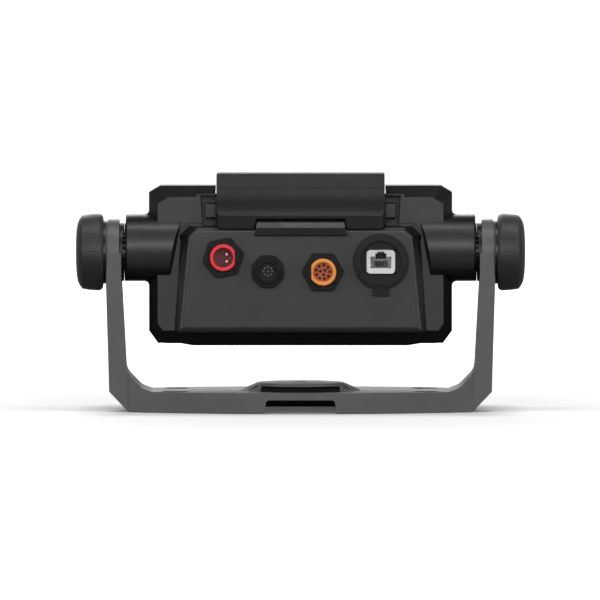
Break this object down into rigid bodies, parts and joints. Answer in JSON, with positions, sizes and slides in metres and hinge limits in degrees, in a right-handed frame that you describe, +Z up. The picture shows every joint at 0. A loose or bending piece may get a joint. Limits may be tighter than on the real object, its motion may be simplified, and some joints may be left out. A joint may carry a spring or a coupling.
{
  "type": "chartplotter display",
  "caption": "Marine chartplotter display head in a quick-release cradle with rear sockets, on a tilting bail bracket clamped by two side knobs.",
  "frame": {"origin": "centre of the bracket's underside, on the surface it is screwed to", "axes": "+Z up; +X to the right of someone facing the screen, along the tilt axis; +Y to the rear, the way the sockets face; the screen faces -Y"},
  "size_m": [0.2538, 0.0817, 0.1343],
  "materials": {
    "bail_plastic": "satin",
    "cradle_plastic": "satin",
    "hood_plastic": "satin",
    "ratchet_plastic": "satin",
    "knob_rubber": "matte",
    "washer_plastic": "satin",
    "steel": "satin",
    "brass": "satin",
    "black_plastic": "satin",
    "nut_plastic": "satin",
    "red_plastic": "gloss",
    "dark_red_plastic": "matte",
    "orange_plastic": "gloss",
    "dark_orange_plastic": "matte",
    "tinned_pins": "satin",
    "gold_contacts": "satin",
    "seal_rubber": "matte",
    "jack_plastic": "satin",
    "board": "satin",
    "head_plastic": "satin",
    "key_rubber": "matte",
    "cover_glass": "gloss",
    "screen": "gloss",
    "chassis_metal": "satin",
    "ceramic": "matte"
  },
  "bodies": {
    "bail": {"bail_bracket": "bail_plastic", "hub_cap": "bail_plastic", "hub_cap_screw": "steel", "hub_pad": "seal_rubber", "arm_toothed_discs": "ratchet_plastic"},
    "cradle": {"cradle_shell": "cradle_plastic", "boss_toothed_discs": "ratchet_plastic", "thread_inserts": "brass", "guide_rails": "cradle_plastic", "finger_ledge": "cradle_plastic", "dock_plate": "black_plastic", "dock_screws": "steel", "wiring_board": "board", "dock_connector": "black_plastic", "spring_pins": "gold_contacts", "socket_seals": "seal_rubber", "power_socket": "red_plastic", "power_insert": "dark_red_plastic", "power_pins": "tinned_pins", "power_nut": "nut_plastic", "data_socket": "nut_plastic", "data_insert": "black_plastic", "data_pins": "tinned_pins", "data_nut": "nut_plastic", "sonar_socket": "orange_plastic", "sonar_insert": "dark_orange_plastic", "sonar_nut": "nut_plastic", "network_collar": "black_plastic", "network_jack": "jack_plastic", "network_contacts": "gold_contacts", "latch_springs": "steel"},
    "latch": {"latch_hood": "hood_plastic", "latch_slide": "black_plastic", "latch_screws": "steel"},
    "head": {"rear_housing": "head_plastic", "front_bezel": "head_plastic", "cover_glass": "cover_glass", "display_panel": "screen", "chassis_plate": "chassis_metal", "head_gasket": "seal_rubber", "head_screws": "steel", "contact_pads": "gold_contacts", "main_board": "board", "antenna": "ceramic", "beeper": "black_plastic", "key_board": "board", "card_reader": "black_plastic", "card_door_pin": "steel"},
    "card_door": {"card_door": "head_plastic"},
    "key_power": {"key_power": "key_rubber"},
    "key_home": {"key_home": "key_rubber"},
    "key_mark": {"key_mark": "key_rubber"},
    "key_zoom_in": {"key_zoom_in": "key_rubber"},
    "key_zoom_out": {"key_zoom_out": "key_rubber"},
    "washer_right": {"knob_washer_right": "washer_plastic"},
    "knob_right": {"knob_grip_right": "knob_rubber", "knob_stud_right": "steel"},
    "washer_left": {"knob_washer_left": "washer_plastic"},
    "knob_left": {"knob_grip_left": "knob_rubber", "knob_stud_left": "steel"}
  },
  "joints": [
    {"name": "tilt", "type": "hinge", "parent": "bail", "child": "cradle", "pos_m": [0, 0, 0.0895], "axis": [1, 0, 0], "range_deg": [-60, 40]},
    {"name": "head_tip", "type": "hinge", "parent": "cradle", "child": "head", "pos_m": [0, 0.005, 0.045], "axis": [1, 0, 0], "range_deg": [0, 7]},
    {"name": "latch_lift", "type": "slide", "parent": "cradle", "child": "latch", "axis": [0, 0, 1], "range_m": [0, 0.00901], "deforming": ["latch_springs"]},
    {"name": "card_door_swing", "type": "hinge", "parent": "head", "child": "card_door", "pos_m": [0.072, -0.0389, 0.0507], "axis": [-1, 0, 0], "range_deg": [0, 95]},
    {"name": "press_power", "type": "slide", "parent": "head", "child": "key_power", "axis": [0, 1, 0], "range_m": [0, 0.0008], "stiffness_N_per_m": 900, "springref_m": -0.0006},
    {"name": "press_home", "type": "slide", "parent": "head", "child": "key_home", "axis": [0, 1, 0], "range_m": [0, 0.0008], "stiffness_N_per_m": 900, "springref_m": -0.0006},
    {"name": "press_mark", "type": "slide", "parent": "head", "child": "key_mark", "axis": [0, 1, 0], "range_m": [0, 0.0008], "stiffness_N_per_m": 900, "springref_m": -0.0006},
    {"name": "press_zoom_in", "type": "slide", "parent": "head", "child": "key_zoom_in", "axis": [0, 1, 0], "range_m": [0, 0.0008], "stiffness_N_per_m": 900, "springref_m": -0.0006},
    {"name": "press_zoom_out", "type": "slide", "parent": "head", "child": "key_zoom_out", "axis": [0, 1, 0], "range_m": [0, 0.0008], "stiffness_N_per_m": 900, "springref_m": -0.0006},
    {"name": "knob_right_travel", "type": "slide", "parent": "cradle", "child": "washer_right", "axis": [1, 0, 0], "range_m": [0, 0.00376]},
    {"name": "knob_right_spin", "type": "hinge", "parent": "washer_right", "child": "knob_right", "pos_m": [0.112, 0, 0.0895], "axis": [1, 0, 0], "range_deg": [0, 1080]},
    {"name": "knob_left_travel", "type": "slide", "parent": "cradle", "child": "washer_left", "axis": [-1, 0, 0], "range_m": [0, 0.00376]},
    {"name": "knob_left_spin", "type": "hinge", "parent": "washer_left", "child": "knob_left", "pos_m": [-0.112, 0, 0.0895], "axis": [-1, 0, 0], "range_deg": [0, 1080]}
  ],
  "couplings": [
    {"joint": "latch_lift", "follows": "head_tip", "m_per_rad": 0.073667},
    {"joint": "knob_right_travel", "follows": "knob_right_spin", "m_per_rad": 0.00019894},
    {"joint": "knob_left_travel", "follows": "knob_left_spin", "m_per_rad": 0.00019894}
  ]
}
